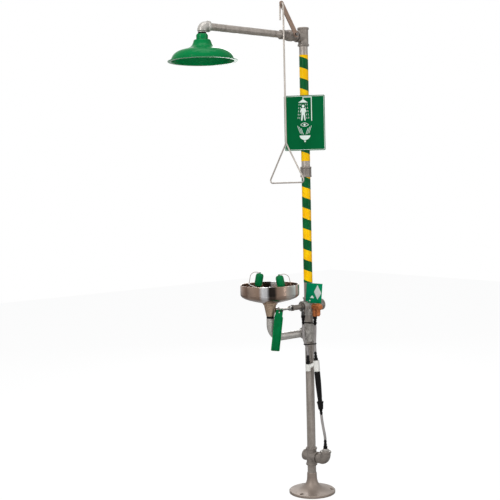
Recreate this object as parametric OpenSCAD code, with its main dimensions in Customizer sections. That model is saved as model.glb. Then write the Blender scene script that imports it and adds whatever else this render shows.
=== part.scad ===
// Combination emergency drench shower and eyewash on a floor-standing pipe post.
// Millimetres, +Z up. The origin is on the floor, on the post axis.
// The shower arm and the eyewash bowl reach towards -Y, where the user stands.

/* [Post pipe] */
// Outside diameter of the post pipe
pipe_od = 42.2; // [40:0.1:44]
// Wall of the post pipe
pipe_wall = 3.6; // [3:0.1:4.5]
// Height of the drain cross
drain_cross_z = 182; // [170:1:190]
// Height of the waste tee
waste_tee_z = 803; // [780:1:806]
// Height of the middle of the post coupling
coupling_z = 1592; // [1500:1:1700]
// Height of the shower arm
arm_z = 2243; // [2150:1:2500]

/* [Cast fittings] */
// Length from the centre of a fitting to its mouth
fit_reach = 44.5; // [43:0.5:46]
// Wall of a fitting outside the pipe
fit_wall = 3.9; // [3:0.1:4.5]
// Height of the bead round a mouth
bead_rise = 3; // [1.5:0.5:4]
// Width of the bead
bead_w = 8; // [5:0.5:12]
// Depth of pipe held in a fitting
thread_depth = 17; // [12:0.5:20]

/* [Base] */
// Diameter of the floor flange
flange_d = 228.6; // [190:0.1:260]
// Thickness of the flange at its edge
flange_edge = 9; // [6:0.5:14]
// Height of the flange neck
neck_h = 100; // [80:1:110]
// Diameter of the bolt circle
bolt_circle = 194; // [160:1:204]
// Diameter of a bolt hole
bolt_hole_d = 11; // [8:0.5:14]
// Turn of the bolt pattern
bolt_turn = 45; // [0:1:119]

/* [Shower] */
// Reach of the shower head from the post
head_reach = 612; // [500:1:700]
// Outside diameter of the arm pipe
arm_od = 33.4; // [32:0.1:35]
// Diameter of the shower head over its lip
head_d = 314; // [260:1:340]
// Height of the shower bell
bell_h = 121; // [115:1:130]
// Wall of the shower bell
bell_wall = 3; // [2:0.5:5]
// Distance of the valve stem from the post
valve_y = 88; // [86:1:100]
// Length of the valve lever from stem to hook hole
lever_len = 162; // [150:1:200]
// Width of the lever bar
lever_w = 24; // [18:1:28]
// Angle of the closed lever above the arm
lever_angle = 57; // [45:1:65]
// Length of the pull rod from the hook to the handle
rod_len = 651; // [500:1:800]
// Diameter of the pull rod
rod_d = 8.4; // [6:0.1:9]
// Width of the triangle handle
handle_w = 256; // [160:1:280]
// Height of the triangle handle
handle_h = 187; // [120:1:200]
// Diameter of the handle wire
handle_wire_d = 7; // [5:0.5:8]

/* [Eyewash] */
// Reach of the bowl from the post
bowl_reach = 250; // [244:1:262]
// Height of the bowl rim
rim_z = 1061; // [1040:1:1120]
// Drop from the bowl rim to the supply cross
line_below_rim = 127; // [122:1:134]
// Diameter of the bowl
bowl_d = 280; // [276:1:300]
// Sheet of the bowl
bowl_wall = 1.5; // [1:0.1:2.5]
// Distance of each spray head from the bowl centre
head_x = 90; // [80:1:92]
// Inward lean of the spray heads
head_lean = 11; // [0:1:15]
// Diameter of a dust cap
cap_d = 38; // [34:1:40]
// Diameter of the drain tube
drain_tube_d = 38; // [32:0.1:38.5]
// Width of the push paddle
paddle_w = 48; // [46:1:60]
// Length of the push paddle below the stem
paddle_len = 192; // [150:1:194]
// Tilt of the hanging paddle towards the user
paddle_tilt = 9.8; // [4:0.1:14]

/* [Sign] */
// Width of the sign
sign_w = 197; // [150:1:250]
// Height of the sign
sign_h = 266; // [200:1:300]
// Height of the middle of the sign
sign_z = 1828; // [1780:1:1900]
// Turn of the sign about the post
sign_turn = 45; // [0:1:90]

/* [Hidden] */
$fn = 48;

// Colours
galvanised = "#938a82";
zinc = "#b4b0aa";
chrome = "#c9c9c6";
polished = "#b3a79c";
safety_green = "#00894a";
sign_green = "#005a30";
tape_yellow = "#ffc300";
black_nylon = "#161616";
hose_grey = "#96918f";
manifold_white = "#e1e1de";
bronze = "#a5693c";
rod_grey = "#cfcdc8";

// Clearances: threaded joints, moving shafts, loose fits between moving bodies
fit_gap = 0.15;
shaft_gap = 0.05;
free_gap = 0.3;

// Height of the supply cross, set by the bowl that it feeds
supply_z = rim_z - line_below_rim;

pipe_r = pipe_od / 2;
bore_r = pipe_r - pipe_wall;
fit_r = pipe_r + fit_wall;
bead_r = fit_r + bead_rise;
socket_r = pipe_r + fit_gap;
arm_r = arm_od / 2;
arm_bore_r = arm_r - 3.4;
small_fit_r = arm_r + 3;
small_bead_r = small_fit_r + 2.8;
up = [0, 0, 1];
down = [0, 0, -1];
front = [0, -1, 0];
back = [0, 1, 0];
left = [-1, 0, 0];
right = [1, 0, 0];

// Base
neck_r = pipe_r + 2.6;
riser_low = 30;
bolt_spot_r = bolt_hole_d / 2 + 4;
screw_z = neck_h - 7;
screw_turn = 30;

// Lower drain branch
elbow_bend = fit_r + 3;
elbow_socket = fit_reach - elbow_bend + 0.5;
elbow_x = 2 * fit_reach + 11;
bushing_hex_h = 11.5;
barb_nut_h = 16;
barb_len = 44;
barb_r = 5.6;
hose_r = 6.7;
elbow_top = drain_cross_z + fit_reach;
lower_barb_z = elbow_top + bushing_hex_h;

// Slanted drain line through the manifold and the sleeve
line_ref = [50, -2, 650];
line_tilt = 6.5;
line_dir = [sin(line_tilt), 0, -cos(line_tilt)];
sleeve_top = 36;
sleeve_body = 129;
sleeve_neck = 18;
sleeve_nut = 38;
sleeve_end = sleeve_top + sleeve_body + sleeve_neck + sleeve_nut;
left_port = [22, -32, 634];
left_port_h = 17;
manifold_up = 18;

// Bleed valves
scald_x = 44;
scald_low = supply_z - 48;
freeze_xy = [28, -64];
freeze_low = supply_z - 38;
bleed_barb_len = 44;

// Hose routes, from the bleed valves to the manifold and from the sleeve to the elbow
left_hose_route = [
  [28, -64, freeze_low - barb_len - 0.3], [28, -64, 840], [28, -64, 826], [28, -64, 812], [28, -63.5, 798],
  [27.6, -61.5, 785],
  [27, -57.5, 772], [26, -51.5, 759], [25, -45.5, 747], [23.8, -40, 735], [22.8, -35.5, 722],
  [22.1, -32.6, 710], [22, -32, left_port[2] + left_port_h + barb_len + 0.3]];
right_hose_route = [
  [44, 0, scald_low - barb_len - 0.3], [44, 0, 830], [43.8, -0.2, 816], [43.2, -0.6, 800], [42.4, -1.1, 784],
  [41.7, -1.5, 768], [41.4, -1.8, 752], [41.6, -1.9, 738], [42.2, -2, 725], [42.9, -2, 712]];
lower_hose_route = [
  [78.2, -2, 402.3], [79.6, -2, 390], [81.5, -1.9, 377], [84, -1.7, 364], [87, -1.4, 350],
  [90.2, -1.1, 336], [93.4, -0.7, 322], [96.4, -0.4, 308], [98.8, -0.1, 295],
  [elbow_x, 0, lower_barb_z + barb_len + 0.8]];

// Eyewash feed line
valve_gap = 36;
eye_valve_y = bowl_reach - valve_gap;
feed_r = 7;
eye_stem_r = 3.5;
eye_ball_r = 8.5;
paddle_x = 38.5;
paddle_t = 2.5;
paddle_flange = 6;
paddle_back = 9;

// Bowl, tailpiece and spray yoke
bowl_wall_h = 45;
bowl_depth = 89;
bowl_r = bowl_d / 2;
bowl_base_z = rim_z - bowl_depth;
tail_flange_r = 36;
tail_top_r = 29;
tail_low_z = bowl_base_z - 63;
tube_r = drain_tube_d / 2;
tube_wall = 1.5;
tube_bend = 65;
tube_top_z = tail_low_z - 11;
riser_r = 9;
yoke_z = rim_z - 25;
bail_turn = 40;
bail_out = 45;
bail_r = 1.3;
bail_bend = 28;
eye_t = 10;
cap_low = 34;
cap_top = 74;
cap_wall = 2.5;
bail_t = cap_top + 2.5;
leg_low = -26;

// Shower
head_z = arm_z - 157;
collar_top = head_z + bell_h;
elbow_reach = 38;
valve_end = valve_y + 61;
lever_x = 42.5;
lever_t = 5;
stem_r = 5;
ball_r = 18.5;
hook_r = 11;
hole_y = -valve_y - lever_len * cos(lever_angle);
hole_z = arm_z + lever_len * sin(lever_angle);
hook_x = lever_x + lever_t / 2;
handle_bend = 13;

// Tapes
tape_t = 0.6;
tape_r = pipe_r + 0.03;

// Sign clamps
band_r = tape_r + tape_t + 0.15;
band_t = 2;
sign_back = band_r + band_t + 2.7;
clamp_bolt_y = band_r + 7;
lower_tape = [supply_z + 117, coupling_z - 26];
upper_tape = [coupling_z + 53, arm_z - 87];

// Points along a cubic Bezier curve
function bezier(a, b, c, d, n) = [for (i = [0 : n])
  let (t = i / n, s = 1 - t) s * s * s * a + 3 * s * s * t * b + 3 * s * t * t * c + t * t * t * d];

// Outline points moved sideways by w, to the right of their direction
function inset(pts, w) = [for (i = [0 : len(pts) - 1])
  let (q = pts[min(i + 1, len(pts) - 1)] - pts[max(i - 1, 0)]) pts[i] + w * [q[1], -q[0]] / norm(q)];

function reversed(pts) = [for (i = [len(pts) - 1 : -1 : 0]) pts[i]];
function unit(v) = v / norm(v);
function tangent(p, i) = unit(p[min(i + 1, len(p) - 1)] - p[max(i - 1, 0)]);
function line_at(s) = line_ref + s * line_dir;

// Points round one station of a hose that runs nearly upright
function hose_ring(c, t, r, n) = let (a = unit(cross(t, right)), b = cross(t, a))
  [for (k = [0 : n - 1]) c + r * (cos(360 * k / n) * a + sin(360 * k / n) * b)];

// A hose swept along a route
module hose(route, r, n = 10) {
  m = len(route);
  pts = [for (i = [0 : m - 1]) each hose_ring(route[i], tangent(route, i), r, n)];
  sides = [for (i = [0 : m - 2], k = [0 : n - 1])
    let (a = i * n + k, b = i * n + (k + 1) % n) each [[a, b, b + n], [a, b + n, a + n]]];
  first = [for (k = [0 : n - 1]) n - 1 - k];
  last = [for (k = [0 : n - 1]) (m - 1) * n + k];
  polyhedron(points = pts, faces = concat(sides, [first, last]));
}

// Points +Z along a direction
module along(v) {
  rotate([0, acos(v[2] / norm(v)), atan2(v[1], v[0])]) children();
}

// A round bar from a to b
module bar(a, b, r) {
  translate(a) along(b - a) cylinder(r = r, h = norm(b - a));
}

// A tube standing on z = 0
module pipe(ro, ri, h) {
  difference() {
    cylinder(r = ro, h = h);
    translate([0, 0, -1]) cylinder(r = ri, h = h + 2);
  }
}

// A quarter bend from the +X axis to the +Z axis
module bend(r, bend_r) {
  rotate([90, 0, 0]) translate([bend_r, bend_r, 0]) rotate([0, 0, 180])
    rotate_extrude(angle = 90) translate([bend_r, 0]) circle(r = r);
}

// One hub of a cast fitting, with its bead
module hub(r, br, reach, from = 0) {
  rotate_extrude() polygon([[0, from], [r, from], [r, reach - bead_w - 3], [br, reach - bead_w],
    [br, reach - 1.5], [br - 1.5, reach], [0, reach]]);
}

// The socket and the waterway of one hub
module hub_bore(sr, br, reach) {
  cylinder(r = br, h = reach + 1);
  translate([0, 0, reach - thread_depth]) cylinder(r = sr, h = thread_depth + 1);
}

// A cast fitting with hubs in the listed directions
module fitting(dirs) {
  difference() {
    union() {
      sphere(r = fit_r);
      for (d = dirs) along(d) hub(fit_r, bead_r, fit_reach);
    }
    for (d = dirs) along(d) hub_bore(socket_r, bore_r, fit_reach);
  }
}

// A hexagon nut blank
module hex(af_r, h) {
  cylinder(r = af_r, h = h, $fn = 6);
}

// A black nylon hose tail, nut first
module barb(nut = true) {
  nut_h = nut ? barb_nut_h : 0;
  ridge = 14;
  if (nut) {
    rotate([0, 0, 30]) hex(10.5, nut_h - 3);
    translate([0, 0, nut_h - 5]) cylinder(r = 7.5, h = 5);
  }
  root = nut ? -1 : 0;
  translate([0, 0, nut_h]) rotate_extrude()
    polygon([[0, root], [barb_r, root], [barb_r, 0], [8.2, 2], [8.2, 6],
    [barb_r, ridge], [7.6, ridge + 2], [7.6, ridge + 5], [barb_r, 2 * ridge], [0, 2 * ridge]]);
}

// A plate outline with round corners
module plate_2d(w, h, r) {
  square([w - 2 * r, h], center = true);
  square([w, h - 2 * r], center = true);
  for (x = [-1, 1], y = [-1, 1]) translate([x * (w / 2 - r), y * (h / 2 - r)]) circle(r = r);
}

// A flat outline drawn in the Y-Z plane and thickened along +X
module upright(x, t) {
  translate([x, 0, 0]) rotate([90, 0, 90]) linear_extrude(t) children();
}

// ---- Base ----

module floor_flange() color(galvanised) {
  difference() {
    rotate_extrude() polygon(concat([[0, 0], [flange_d / 2, 0], [flange_d / 2, flange_edge]],
      bezier([flange_d / 2 - 3, flange_edge + 2.5], [56, 21], [29, 26], [neck_r + 1, 72], 14),
      [[neck_r, neck_h - 2], [neck_r - 1, neck_h], [0, neck_h]]));
    translate([0, 0, riser_low]) cylinder(r = socket_r, h = neck_h);
    for (k = [0 : 2]) rotate([0, 0, bolt_turn + 120 * k]) translate([bolt_circle / 2, 0, 0]) {
      translate([0, 0, -1]) cylinder(d = bolt_hole_d, h = 40);
      translate([0, 0, flange_edge + 1]) cylinder(r = bolt_spot_r, h = 30);
    }
    translate([0, 0, screw_z]) rotate([0, 0, screw_turn]) along(right) cylinder(r = 4 + fit_gap, h = 40);
  }
}

module flange_riser() color(galvanised) {
  low = riser_low + 0.5;
  translate([0, 0, low]) pipe(pipe_r, bore_r, drain_cross_z - fit_reach + thread_depth - 0.5 - low);
}

// ---- Lower drain branch ----

module drain_cross() color(galvanised) {
  translate([0, 0, drain_cross_z]) fitting([up, down, left, right]);
}

module drain_elbow() color(galvanised) {
  male = elbow_x - fit_reach + thread_depth - 0.5;
  translate([elbow_x, 0, drain_cross_z]) rotate([0, 0, 180]) difference() {
    union() {
      bend(fit_r, elbow_bend);
      translate([elbow_bend, 0, 0]) along(right) cylinder(r = fit_r, h = fit_reach - elbow_bend);
      translate([fit_reach, 0, 0]) along(right) cylinder(r = pipe_r, h = male - fit_reach);
      hub(fit_r, bead_r, fit_reach, elbow_bend);
    }
    bend(bore_r, elbow_bend);
    translate([elbow_bend, 0, 0]) along(right) cylinder(r = bore_r, h = male);
    translate([0, 0, elbow_bend - 0.5]) cylinder(r = socket_r, h = 40);
  }
}

module elbow_bushing() color(zinc) {
  translate([elbow_x, 0, elbow_top - elbow_socket + 1]) difference() {
    union() {
      cylinder(r = pipe_r, h = elbow_socket - 2);
      cylinder(r = 15, h = elbow_socket - 1 + bushing_hex_h - 1.5);
      translate([0, 0, elbow_socket - 2]) hex(17, bushing_hex_h - 2);
      cylinder(r = 13, h = elbow_socket - 1 + bushing_hex_h);
    }
    translate([0, 0, -1]) cylinder(r = 6, h = 12);
  }
}

module hose_barbs() color(black_nylon) {
  translate([elbow_x, 0, lower_barb_z]) barb();
  translate(line_at(sleeve_end)) along(line_dir) barb(nut = false);
  translate(line_at(-manifold_up)) along(-line_dir) barb();
  translate(left_port + [0, 0, left_port_h]) barb();
  translate([freeze_xy[0], freeze_xy[1], freeze_low]) along(down) barb();
  translate([scald_x, 0, scald_low]) along(down) barb();
}

module lower_drain_hose() color(hose_grey) {
  hose(lower_hose_route, hose_r);
}

module drain_sleeve() color(black_nylon) {
  neck = sleeve_body + sleeve_neck;
  translate(line_at(sleeve_top)) along(line_dir) {
    rotate_extrude() polygon([[0, 0], [13, 0], [14.5, 2], [14.2, 60], [11.8, sleeve_body - 2],
      [11, sleeve_body], [11, neck], [0, neck]]);
    translate([0, 0, neck]) hex(17, 8);
    translate([0, 0, neck + 8]) cylinder(r1 = 15, r2 = 12, h = sleeve_nut - 8);
  }
}

module hose_manifold() color(manifold_white) {
  right_port = line_at(-6);
  translate(line_at(-manifold_up)) along(line_dir) {
    cylinder(r = 15.5, h = manifold_up + 32);
    cylinder(r = 13, h = manifold_up + sleeve_top);
  }
  translate([left_port[0], left_port[1], left_port[2] - left_port_h])
    cylinder(r = 12.7, h = 2 * left_port_h);
  bar(left_port, right_port, 9);
}

module bleed_hose_left() color(hose_grey) {
  hose(left_hose_route, hose_r);
}

module bleed_hose_right() color(hose_grey) {
  hose(right_hose_route, hose_r);
}

// A strap round a set of circles, each given as [x, y, r]
module strap(rounds, z) {
  gap = 0.4;
  strap_t = 1.3;
  translate([0, 0, z]) linear_extrude(4.8) difference() {
    hull() for (c = rounds) translate([c[0], c[1]]) circle(r = c[2] + gap + strap_t, $fn = 32);
    hull() for (c = rounds) translate([c[0], c[1]]) circle(r = c[2] + gap, $fn = 32);
  }
}

module cable_ties() color(black_nylon) {
  strap([[0, 0, pipe_r], [scald_x, 0, 8.2]], scald_low - 35.5);
  strap([[0, 0, pipe_r], [41.5, -1.9, hose_r], [25.2, -47.5, hose_r + 2]], waste_tee_z - fit_reach - 10);
}

// ---- Waste and supply fittings on the post ----

module stanchion_pipe() color(galvanised) {
  low = drain_cross_z + fit_reach - thread_depth + 0.5;
  translate([0, 0, low]) pipe(pipe_r, bore_r, waste_tee_z - fit_reach + thread_depth - 0.5 - low);
}

module waste_tee() color(galvanised) {
  translate([0, 0, waste_tee_z]) fitting([up, down, front]);
}

// Short pipe with a solid wall that keeps supply water out of the waste
module divider_nipple() color(galvanised) {
  low = waste_tee_z + fit_reach - thread_depth + 0.5;
  len = supply_z - fit_reach + thread_depth - 0.5 - low;
  translate([0, 0, low]) {
    pipe(pipe_r, bore_r, len);
    translate([0, 0, len / 2 - 4]) cylinder(r = bore_r + 1, h = 8);
  }
}

module supply_cross() color(galvanised) {
  boss_r = 17;
  boss_end = 34;
  translate([0, 0, supply_z]) difference() {
    union() {
      sphere(r = fit_r);
      for (d = [up, down, front, back]) along(d) hub(fit_r, bead_r, fit_reach);
      along(right) cylinder(r = boss_r, h = boss_end);
    }
    for (d = [up, down, front, back]) along(d) hub_bore(socket_r, bore_r, fit_reach);
    along(right) cylinder(r = 10.5 + fit_gap, h = 60);
  }
}

module inlet_nipple() color(galvanised) {
  low = fit_reach - thread_depth + 0.5;
  translate([0, low, supply_z]) along(back) pipe(pipe_r, bore_r, 45.5 + thread_depth - low);
}

module inlet_coupling() color(galvanised) {
  translate([0, 46, supply_z]) along(back) difference() {
    union() {
      cylinder(r = fit_r, h = 44);
      translate([0, 0, 44]) mirror([0, 0, 1]) hub(fit_r, bead_r, 44);
      hub(fit_r, bead_r, 44);
    }
    translate([0, 0, -1]) cylinder(r = bore_r, h = 46);
    translate([0, 0, -1]) cylinder(r = socket_r, h = thread_depth + 1);
    translate([0, 0, 44 - thread_depth]) cylinder(r = socket_r, h = thread_depth + 1);
  }
}

// ---- Bleed valves ----

module freeze_bleed_valve() color(chrome) {
  translate([freeze_xy[0], freeze_xy[1], freeze_low]) {
    cylinder(r = 8.2, h = 38);
    rotate([0, 0, 30]) hex(9.4, 12);
    translate([0, 0, 20]) rotate_extrude() polygon([[0, 0], [8.2, 0], [8.8, 1], [8.8, 5], [8.2, 6], [0, 6]]);
    translate([0, 0, supply_z - freeze_low - 6]) along(left) cylinder(r = 5, h = freeze_xy[0] - 9);
  }
}

module scald_bleed_valve() color(bronze) {
  barrel_x = 66;
  translate([0, 0, supply_z]) {
    translate([fit_r + 2, 0, 0]) along(right) cylinder(r = 10.5, h = 12);
    translate([34.3, 0, 0]) along(right) hex(15.5, 6);
    translate([40, 0, 0]) along(right) cylinder(r = 14.5, h = 44);
    translate([84, 0, 0]) along(right) cylinder(r1 = 14.5, r2 = 10, h = 5);
  }
  translate([barrel_x, 0, supply_z - 40]) {
    cylinder(r = 12, h = 54);
    translate([0, 0, 54]) cylinder(r1 = 12, r2 = 8, h = 2.5);
    translate([0, 0, -6]) hex(9, 8);
  }
  translate([scald_x, 0, scald_low]) {
    cylinder(r = 11.5, h = 30);
    translate([0, 0, 22]) cylinder(r = 12.5, h = 8.5);
    translate([0, 0, 29]) cylinder(r = 9.4, h = 12);
  }
}

// ---- Eyewash feed ----

module line_strainer() color(galvanised) {
  translate([0, 0, supply_z]) along(front) difference() {
    union() {
      translate([0, 0, fit_reach - thread_depth + 1]) cylinder(r = pipe_r, h = thread_depth - 1.5);
      translate([0, 0, fit_reach - 2]) cylinder(r = 17, h = 5);
      translate([0, 0, fit_reach + 2]) hex(19, 8);
      cylinder(r = 13, h = 113);
      translate([0, 0, 101]) cylinder(r1 = 13, r2 = 15, h = 2);
      translate([0, 0, 103]) cylinder(r = 15, h = 10);
    }
    translate([0, 0, -1]) cylinder(r = 10, h = 100);
    translate([0, 0, 90]) cylinder(r = feed_r + fit_gap, h = 40);
    translate([0, 0, -1]) cylinder(r = 30, h = fit_reach - thread_depth + 2);
    translate([6, 0, -freeze_xy[1]]) along(back) cylinder(r = 5.15, h = 30);
  }
}

module line_union() color(zinc) {
  translate([0, -113.3, supply_z]) along(front) difference() {
    union() {
      hex(13, 13);
      translate([0, 0, 13]) cylinder(r = 11, h = 3);
      translate([0, 0, 16]) cylinder(r1 = 11, r2 = 9, h = 5);
    }
    translate([0, 0, -1]) cylinder(r = feed_r + fit_gap, h = 30);
  }
}

module line_nipple() color(zinc) {
  end = eye_valve_y - 12;
  translate([0, -95, supply_z]) along(front) pipe(feed_r, feed_r - 2, end - 95);
}

module eyewash_valve_body() color(zinc) {
  translate([0, -eye_valve_y, supply_z]) difference() {
    union() {
      along(front) rotate_extrude()
        polygon([[0, -17], [10.5, -17], [10.5, -11], [12.3, -9], [12.3, 8], [9.6, 9.6], [7, 10.5],
        [7, valve_gap - 6.5], [0, valve_gap - 6.5]]);
      translate([0, 18, 0]) along(front) hex(12.4, 6);
      along(right) cylinder(r = 7.5, h = 23);
      translate([22, 0, 0]) along(right) hex(8.6, 6);
    }
    translate([0, -eye_ball_r - free_gap, 0]) along(back)
      cylinder(r = eye_ball_r + free_gap, h = 2 * (eye_ball_r + free_gap));
    along(front) cylinder(r = 4.5, h = valve_gap);
    along(back) cylinder(r = 4.6, h = 30);
    translate([0, 11.5, 0]) along(back) cylinder(r = feed_r + fit_gap, h = 20);
    translate([2, 0, 0]) along(right) cylinder(r = eye_stem_r + shaft_gap, h = 40);
  }
}

module eyewash_ball() color(chrome) {
  translate([0, -eye_valve_y, supply_z]) difference() {
    sphere(r = eye_ball_r);
    translate([0, 0, -20]) cylinder(r = 4.5, h = 40);
    translate([5, -5, -1.1]) cube([10, 10, 2.2]);
  }
}

module eyewash_stem() color(chrome) {
  end = paddle_x + paddle_t + 6.5;
  translate([0, -eye_valve_y, supply_z]) {
    translate([eye_ball_r + 0.1, 0, 0]) along(right) cylinder(r = eye_stem_r, h = end - eye_ball_r - 0.1);
    translate([5.2, -2.5, -1]) cube([4.2, 5, 2]);
    translate([29, 0, 0]) along(right) cylinder(r = 6.5, h = paddle_x - 29);
  }
}

// Outline of the paddle about its pivot; x runs to the back, y runs down
module paddle_2d(grow = 0) {
  front_x = paddle_back - paddle_w;
  shoulder = 22;
  translate([paddle_back - paddle_w / 2, (paddle_len + shoulder) / 2])
    plate_2d(paddle_w - 2 * grow, paddle_len - shoulder - 2 * grow, 5 - grow);
  polygon([[paddle_back - grow, 0], [paddle_back - grow, 45], [front_x + grow, 45],
    [front_x + grow, shoulder + 12],
    [-33 + grow, 4], [-17 - grow, 4], [-16 - grow, 11], [-9 + grow, 11], [-9 + grow, 0]]);
  circle(r = 9 - grow);
  translate([-25, 4]) circle(r = 8 - grow);
}

module push_paddle() color(safety_green) {
  flange_x = paddle_x + paddle_t - 0.2;
  translate([0, -eye_valve_y, supply_z]) rotate([-paddle_tilt, 0, 0]) difference() {
    union() {
      upright(paddle_x, paddle_t) mirror([0, 1]) paddle_2d();
      upright(flange_x, paddle_flange) mirror([0, 1]) intersection() {
        difference() {
          paddle_2d();
          paddle_2d(paddle_t);
        }
        translate([-100, 30]) square([200, paddle_len]);
      }
    }
    along(right) cylinder(r = eye_stem_r + shaft_gap, h = 80);
  }
}

module paddle_nut() color(chrome) {
  translate([paddle_x + paddle_t, -eye_valve_y, supply_z]) along(right) difference() {
    hex(6.5, 5);
    translate([0, 0, -1]) cylinder(r = eye_stem_r + shaft_gap, h = 10);
  }
}

// ---- Upper post ----

module post_pipe_lower() color(galvanised) {
  low = supply_z + fit_reach - thread_depth + 0.5;
  translate([0, 0, low]) pipe(pipe_r, bore_r, coupling_z - 1 - low);
}

module post_coupling() color(galvanised) {
  half = 25.5;
  translate([0, 0, coupling_z]) difference() {
    union() {
      for (d = [up, down]) along(d) hub(fit_r, bead_r - 0.5, half);
      for (k = [0 : 7]) rotate([0, 0, 45 * k]) translate([fit_r - 1, -1.5, -half + 4])
        cube([2.6, 3, 2 * half - 8]);
    }
    translate([0, 0, -half - 1]) cylinder(r = socket_r, h = 2 * half + 2);
  }
}

module post_pipe_upper() color(galvanised) {
  low = coupling_z + 1;
  translate([0, 0, low]) pipe(pipe_r, bore_r, arm_z - fit_reach + thread_depth - 0.5 - low);
}

module warning_tapes() color(tape_yellow) {
  for (t = [lower_tape, upper_tape]) translate([0, 0, t[0]]) pipe(tape_r + tape_t, tape_r, t[1] - t[0]);
}

module inspection_tag() color(safety_green) {
  inner = bead_r + free_gap;
  tag_t = 1.5;
  tag_h = 97;
  wrap = 27;
  lean = 5;
  pin_h = 22;
  translate([0, 0, supply_z + 19 + pin_h]) rotate([0, 0, 47]) rotate([0, lean, 0])
    translate([0, 0, -pin_h]) difference() {
    linear_extrude(tag_h) polygon(concat(
      [for (k = [0 : 6]) (inner + tag_t) * [-sin(wrap * (1 - k / 6)), -cos(wrap * (1 - k / 6))]],
      [[64, -inner - tag_t], [64, -inner]],
      [for (k = [6 : -1 : 0]) inner * [-sin(wrap * (1 - k / 6)), -cos(wrap * (1 - k / 6))]]));
    translate([-41, -40, -1]) cube([40, 50, 7.5]);
  }
}

module sign_panel() color(sign_green) {
  translate([0, 0, sign_z]) rotate([0, 0, sign_turn]) translate([0, -sign_back, 0]) rotate([90, 0, 0])
    linear_extrude(2.5) plate_2d(sign_w, sign_h, 6);
}

module sign_clamps() color(zinc) {
  for (s = [-1, 1]) translate([0, 0, sign_z + s * sign_h / 4 - 8]) rotate([0, 0, sign_turn]) difference() {
    union() {
      cylinder(r = band_r + band_t, h = 16);
      translate([-14, 0.1 - sign_back, 0]) cube([28, 8, 16]);
      translate([-5, band_r - 4, 0]) cube([10, 16, 16]);
    }
    translate([0, 0, -1]) cylinder(r = band_r, h = 18);
    translate([-1.5, band_r - 7, -1]) cube([3, 30, 18]);
    translate([-20, clamp_bolt_y, 8]) along(right) cylinder(r = 2.65, h = 40);
  }
}

// Set screw of the flange neck, and the bolts of the sign clamps
module fasteners() color(chrome) {
  translate([0, 0, screw_z]) rotate([0, 0, screw_turn]) translate([pipe_r + 0.1, 0, 0]) along(right)
    difference() {
    cylinder(r = 4, h = neck_r - pipe_r + 0.6);
    translate([0, 0, 1]) hex(2.2, 10);
  }
  for (s = [-1, 1]) translate([0, 0, sign_z + s * sign_h / 4]) rotate([0, 0, sign_turn])
    translate([-9, clamp_bolt_y, 0])
    along(right) {
      hex(4.6, 3.8);
      cylinder(r = 2.5, h = 20);
      translate([0, 0, 14.2]) hex(4.6, 4);
    }
}

// ---- Shower ----

module top_tee() color(galvanised) {
  translate([0, 0, arm_z]) fitting([up, down, front]);
}

module top_plug() color(galvanised) {
  translate([0, 0, arm_z + fit_reach - thread_depth + 1]) difference() {
    cylinder(r = pipe_r, h = thread_depth - 2);
    translate([0, 0, 5]) hex(9, 20);
  }
}

module shower_valve_body() color(galvanised) {
  y = valve_y;
  translate([0, 0, arm_z]) difference() {
    union() {
      along(front) rotate_extrude() polygon([[0, fit_reach - thread_depth + 1],
        [pipe_r, fit_reach - thread_depth + 1], [pipe_r, 52], [23, 52], [23, y - 19], [25.6, y - 15],
        [27, y - 8], [27, y + 8], [25.6, y + 15], [23, y + 19], [23, y + 28], [small_fit_r, y + 28],
        [small_fit_r, y + 50], [small_bead_r, y + 53], [small_bead_r, y + 59.5],
        [small_bead_r - 1.5, y + 61], [0, y + 61]]);
      translate([0, -50, 0]) along(front) hex(25.5, 11);
      translate([0, -y - 27, 0]) along(front) hex(25, 12);
      translate([0, -y, 0]) along(right) cylinder(r = 13, h = 35);
      translate([34, -y, 0]) along(right) hex(11.5, 7);
    }
    translate([0, -y + ball_r + free_gap, 0]) along(front)
      cylinder(r = ball_r + free_gap, h = 2 * (ball_r + free_gap));
    along(front) cylinder(r = 12.5, h = valve_end + 1);
    translate([0, -valve_end + 15, 0]) along(front) cylinder(r = arm_r + fit_gap, h = 20);
    translate([2, -y, 0]) along(right) cylinder(r = stem_r + shaft_gap, h = 60);
  }
}

module shower_ball() color(chrome) {
  translate([0, -valve_y, arm_z]) difference() {
    sphere(r = ball_r);
    translate([0, 0, -30]) cylinder(r = 12, h = 60);
    translate([14, -8, -2.1]) cube([10, 16, 4.2]);
  }
}

module shower_stem() color(chrome) {
  end = lever_x + lever_t + 7.5;
  translate([0, -valve_y, arm_z]) {
    translate([ball_r + 0.1, 0, 0]) along(right) cylinder(r = stem_r, h = end - ball_r - 0.1);
    translate([14.2, -3.5, -2]) cube([5, 7, 4]);
  }
}

module shower_lever() color(rod_grey) {
  upright(lever_x, lever_t) translate([-valve_y, arm_z]) rotate(180 - lever_angle) difference() {
    union() {
      circle(r = lever_w / 2 + 2);
      translate([0, -lever_w / 2]) square([lever_len, lever_w]);
      translate([lever_len, 0]) circle(r = lever_w / 2);
    }
    circle(r = stem_r + shaft_gap);
    translate([lever_len, 0]) circle(r = rod_d / 2 + 0.6);
    translate([lever_len * 0.45, 0]) circle(r = 3);
  }
}

module lever_nut() color(chrome) {
  translate([lever_x + lever_t, -valve_y, arm_z]) along(right) difference() {
    hex(9, 6);
    translate([0, 0, -1]) cylinder(r = stem_r + shaft_gap, h = 10);
  }
}

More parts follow.
